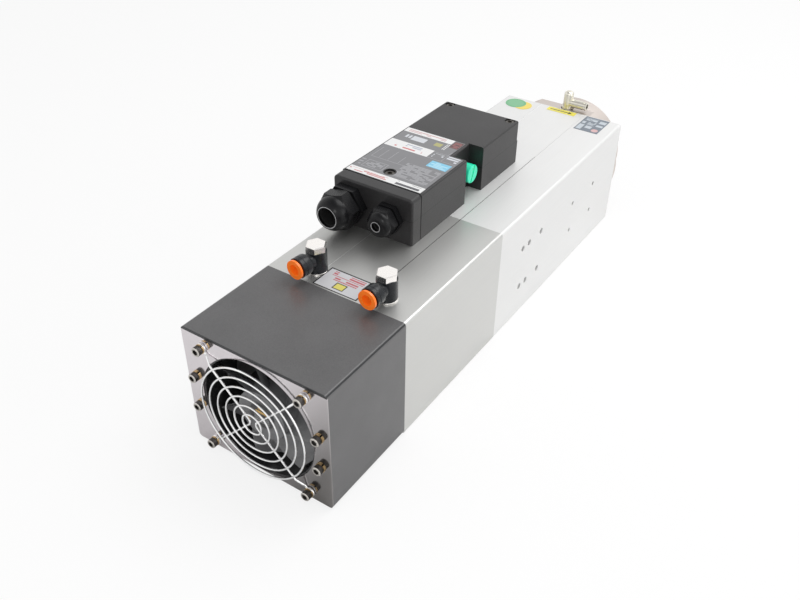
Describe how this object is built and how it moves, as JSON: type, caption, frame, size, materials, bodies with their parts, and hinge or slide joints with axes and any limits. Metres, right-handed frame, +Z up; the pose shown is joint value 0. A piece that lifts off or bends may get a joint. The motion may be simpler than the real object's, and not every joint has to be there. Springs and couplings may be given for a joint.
{
  "type": "motor spindle",
  "caption": "Air-cooled square motor spindle with a fan and wire guard at the rear, air elbows, a cable box on top, a pneumatic drawbar and a taper nose.",
  "frame": {"origin": "on the flat underside, below the spindle's axis, half way along the body from the fan plate to the front housing's end", "axes": "+Y along the spindle towards the tool nose, +Z up from the underside, +X to the right seen from the fan end"},
  "size_m": [0.1508, 0.6485, 0.1753],
  "materials": {
    "satin_aluminium": "satin, near-white anodised",
    "silver_aluminium": "satin, silver anodised",
    "bare_aluminium": "machined",
    "black_paint": "satin black",
    "polished_steel": "finely brushed",
    "chrome_wire": "bright plated",
    "dark_steel": "black oxide, oiled",
    "zinc_steel": "zinc plated",
    "yellow_zinc": "yellow zinc plated",
    "steel": "ground",
    "bearing_steel": "ground and polished",
    "spring_steel": "phosphated",
    "rotor_iron": "laminated",
    "copper": "enamelled copper wire",
    "nickel_plate": "nickel plated",
    "black_frame": "cast, painted black",
    "black_plastic": "black",
    "elbow_plastic": "black",
    "orange_plastic": "orange",
    "green_plastic": "green",
    "white_plastic": "white",
    "box_plastic": "black, finely textured",
    "black_rubber": "black",
    "label_film": "printed film"
  },
  "bodies": {
    "housing": {"bearing_outer_rings": "bearing_steel", "box_base": "box_plastic", "box_gasket": "black_rubber", "box_label": "label_film", "box_lid": "box_plastic", "cylinder_body": "bare_aluminium", "elbow_bolts": "nickel_plate", "end_cap": "box_plastic", "fan_frame": "black_frame", "fan_guard": "chrome_wire", "fan_hood": "black_paint", "fan_nuts": "zinc_steel", "fan_plate": "polished_steel", "front_channel_cover": "satin_aluminium", "front_housing": "satin_aluminium", "gland_bodies": "black_plastic", "housing_labels": "label_film", "lock_washers": "yellow_zinc", "nose_block": "bare_aluminium", "nose_cap": "steel", "nose_elbow_stem": "nickel_plate", "plate_screws": "dark_steel", "position_sensors": "nickel_plate", "rear_bearing_cap": "steel", "rear_bearing_housing": "steel", "rear_channel_cover": "silver_aluminium", "rear_cover": "bare_aluminium", "rear_housing": "silver_aluminium", "rubber_seals": "black_rubber", "sensor_ring": "bare_aluminium", "socket_screws": "dark_steel", "stator_core": "rotor_iron", "stator_windings": "copper", "terminal_block": "white_plastic", "tie_bars": "bare_aluminium"},
    "fan": {"fan_rotor": "black_plastic"},
    "spindle": {"shaft": "steel", "drive_keys": "dark_steel", "bearing_inner_rings": "bearing_steel", "bearing_nuts": "dark_steel", "labyrinth_ring": "steel", "rotor": "rotor_iron", "disc_springs": "spring_steel"},
    "drawbar": {"drawbar": "steel", "drawbar_collars": "dark_steel", "gripper_fingers": "dark_steel"},
    "piston": {"piston": "bare_aluminium", "piston_seals": "black_rubber"},
    "front_cages": {"front_ball_cages": "bearing_steel"},
    "rear_cage": {"rear_ball_cages": "bearing_steel"},
    "left_elbow": {"left_elbow_body": "elbow_plastic"},
    "left_collar": {"left_release_collar": "orange_plastic"},
    "right_elbow": {"right_elbow_body": "elbow_plastic"},
    "right_collar": {"right_release_collar": "orange_plastic"},
    "nose_elbow": {"nose_elbow_body": "nickel_plate"},
    "nose_collar": {"nose_release_collar": "nickel_plate"},
    "large_gland": {"large_gland_nut": "black_plastic"},
    "small_gland": {"small_gland_nut": "black_plastic"},
    "plug": {"side_plug": "green_plastic"}
  },
  "joints": [
    {"name": "fan_spin", "type": "hinge", "parent": "housing", "child": "fan", "pos_m": [0, -0.262, 0.062], "axis": [0, 1, 0], "continuous": true},
    {"name": "spindle_spin", "type": "hinge", "parent": "housing", "child": "spindle", "pos_m": [0, 0, 0.0635], "axis": [0, 1, 0], "continuous": true},
    {"name": "piston_slide", "type": "slide", "parent": "housing", "child": "piston", "axis": [0, 1, 0], "range_m": [0, 0.0095]},
    {"name": "drawbar_slide", "type": "slide", "parent": "spindle", "child": "drawbar", "axis": [0, 1, 0], "range_m": [0, 0.008], "stiffness_N_per_m": 2000, "deforming": ["disc_springs"]},
    {"name": "front_cages_spin", "type": "hinge", "parent": "housing", "child": "front_cages", "pos_m": [0, 0.25, 0.0635], "axis": [0, 1, 0], "continuous": true},
    {"name": "rear_cage_spin", "type": "hinge", "parent": "housing", "child": "rear_cage", "pos_m": [0, -0.03, 0.0635], "axis": [0, 1, 0], "continuous": true},
    {"name": "left_elbow_swivel", "type": "hinge", "parent": "housing", "child": "left_elbow", "pos_m": [-0.0325, -0.156, 0.14], "axis": [0, 0, 1], "continuous": true},
    {"name": "left_collar_press", "type": "slide", "parent": "left_elbow", "child": "left_collar", "axis": [0.1045, 0.9945, 0], "range_m": [0, 0.0014]},
    {"name": "right_elbow_swivel", "type": "hinge", "parent": "housing", "child": "right_elbow", "pos_m": [0.0425, -0.156, 0.14], "axis": [0, 0, 1], "continuous": true},
    {"name": "right_collar_press", "type": "slide", "parent": "right_elbow", "child": "right_collar", "axis": [0.0523, 0.9986, 0], "range_m": [0, 0.0014]},
    {"name": "nose_elbow_swivel", "type": "hinge", "parent": "housing", "child": "nose_elbow", "pos_m": [0.0025, 0.289, 0.134], "axis": [0, 0, 1], "continuous": true},
    {"name": "nose_collar_press", "type": "slide", "parent": "nose_elbow", "child": "nose_collar", "axis": [-1, 0, 0], "range_m": [0, 0.0014]},
    {"name": "large_gland_turn", "type": "hinge", "parent": "housing", "child": "large_gland", "pos_m": [-0.055, -0.1, 0.151], "axis": [0, -1, 0], "range_deg": [0, 360]},
    {"name": "small_gland_turn", "type": "hinge", "parent": "housing", "child": "small_gland", "pos_m": [-0.009, -0.092, 0.151], "axis": [0, -1, 0], "range_deg": [0, 360]},
    {"name": "plug_turn", "type": "hinge", "parent": "housing", "child": "plug", "pos_m": [0.008, 0.035, 0.1525], "axis": [1, 0, 0], "range_deg": [0, 360]}
  ],
  "couplings": [
    {"joint": "drawbar_slide", "follows": "piston_slide", "ratio": 0.842},
    {"joint": "front_cages_spin", "follows": "spindle_spin", "ratio": 0.4303},
    {"joint": "rear_cage_spin", "follows": "spindle_spin", "ratio": 0.4183}
  ]
}
